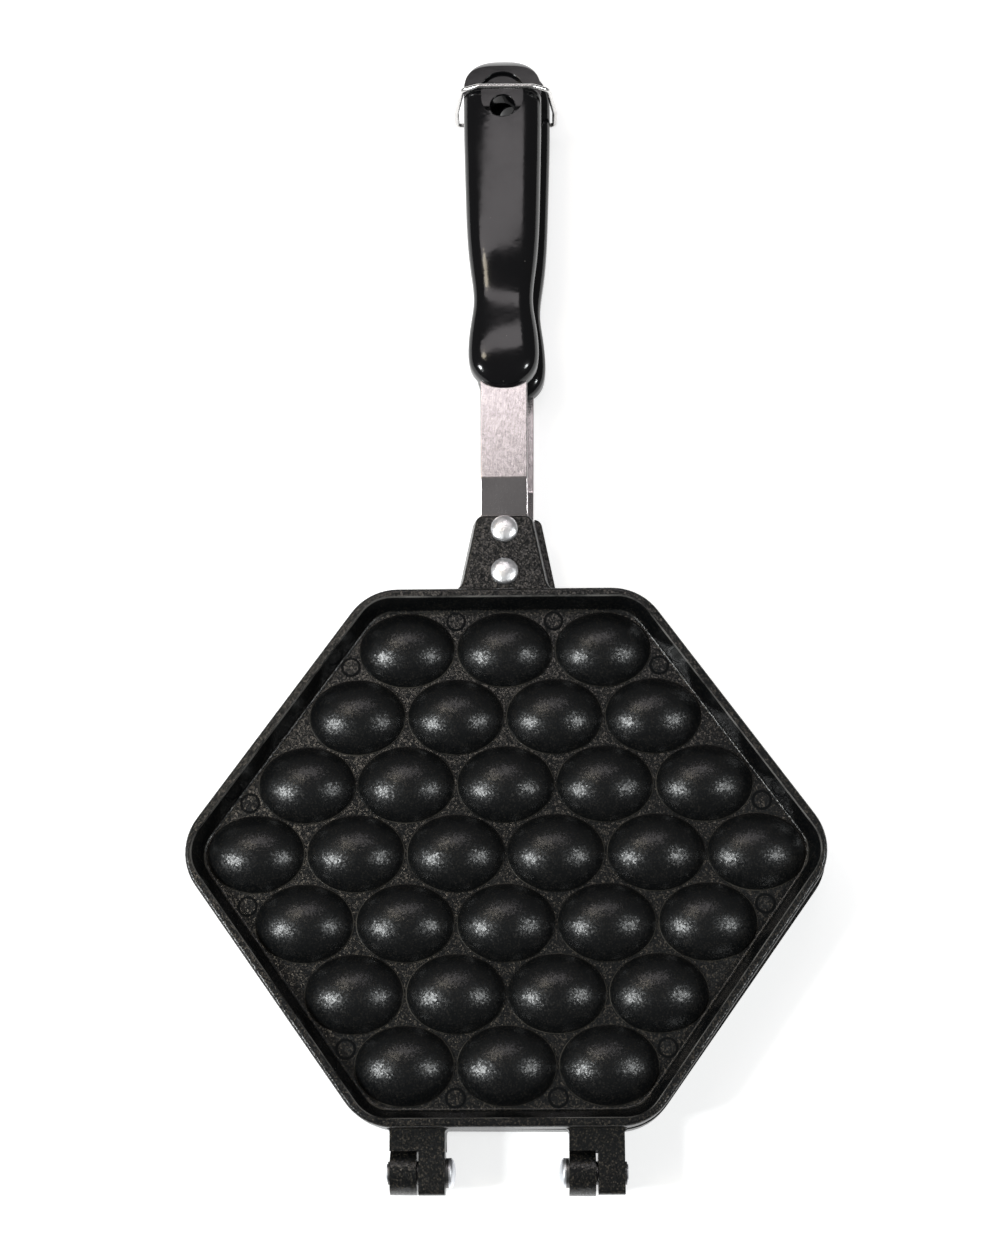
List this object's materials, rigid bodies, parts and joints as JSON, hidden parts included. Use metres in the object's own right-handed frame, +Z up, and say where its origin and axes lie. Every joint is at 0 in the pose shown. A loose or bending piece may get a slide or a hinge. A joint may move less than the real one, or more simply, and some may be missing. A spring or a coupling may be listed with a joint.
{
  "type": "egg waffle pan",
  "caption": "Hinged cast double pan with egg-shaped cups, hexagonal rims, riveted steel straps, long moulded grips and a wire locking bail.",
  "frame": {"origin": "centre of the closed pan's bounding box, at the level that it rests on", "axes": "+X to the right along the hinge axis, +Y from the hinge to the handles, +Z up from the lower half to the upper half"},
  "size_m": [0.2204, 0.4206, 0.0329],
  "materials": {
    "casting": "black non-stick coating with a fine grain on cast aluminium",
    "strap": "satin stamped steel strip",
    "grip": "glossy black moulded phenolic plastic",
    "rivet": "bright formed aluminium",
    "hinge_pin": "bright steel rivet pin",
    "washer": "darkened flat steel washer",
    "bail_wire": "bright drawn steel wire",
    "screw": "bright zinc plated steel"
  },
  "bodies": {
    "lower_half": {"lower_pan_half": "casting", "lower_handle_strap": "strap", "lower_grip": "grip", "lower_outer_rivet": "rivet", "lower_inner_rivet": "rivet", "lower_grip_screw": "screw", "left_hinge_pin": "hinge_pin", "right_hinge_pin": "hinge_pin", "left_head_washer": "washer", "right_head_washer": "washer", "left_spacer_washer": "washer", "right_spacer_washer": "washer", "left_tail_washer": "washer", "right_tail_washer": "washer"},
    "upper_half": {"upper_pan_half": "casting", "upper_handle_strap": "strap", "upper_grip": "grip", "upper_outer_rivet": "rivet", "upper_inner_rivet": "rivet", "upper_grip_screw": "screw"},
    "bail": {"locking_bail": "bail_wire"}
  },
  "joints": [
    {"name": "pan_hinge", "type": "hinge", "parent": "lower_half", "child": "upper_half", "pos_m": [0, -0.20295, 0.0155], "axis": [1, 0, 0], "range_deg": [0, 180]},
    {"name": "bail_pivot", "type": "hinge", "parent": "lower_half", "child": "bail", "pos_m": [0.00171, 0.18914, 0.00715], "axis": [-1, 0.0044, 0], "range_deg": [0, 95]}
  ]
}
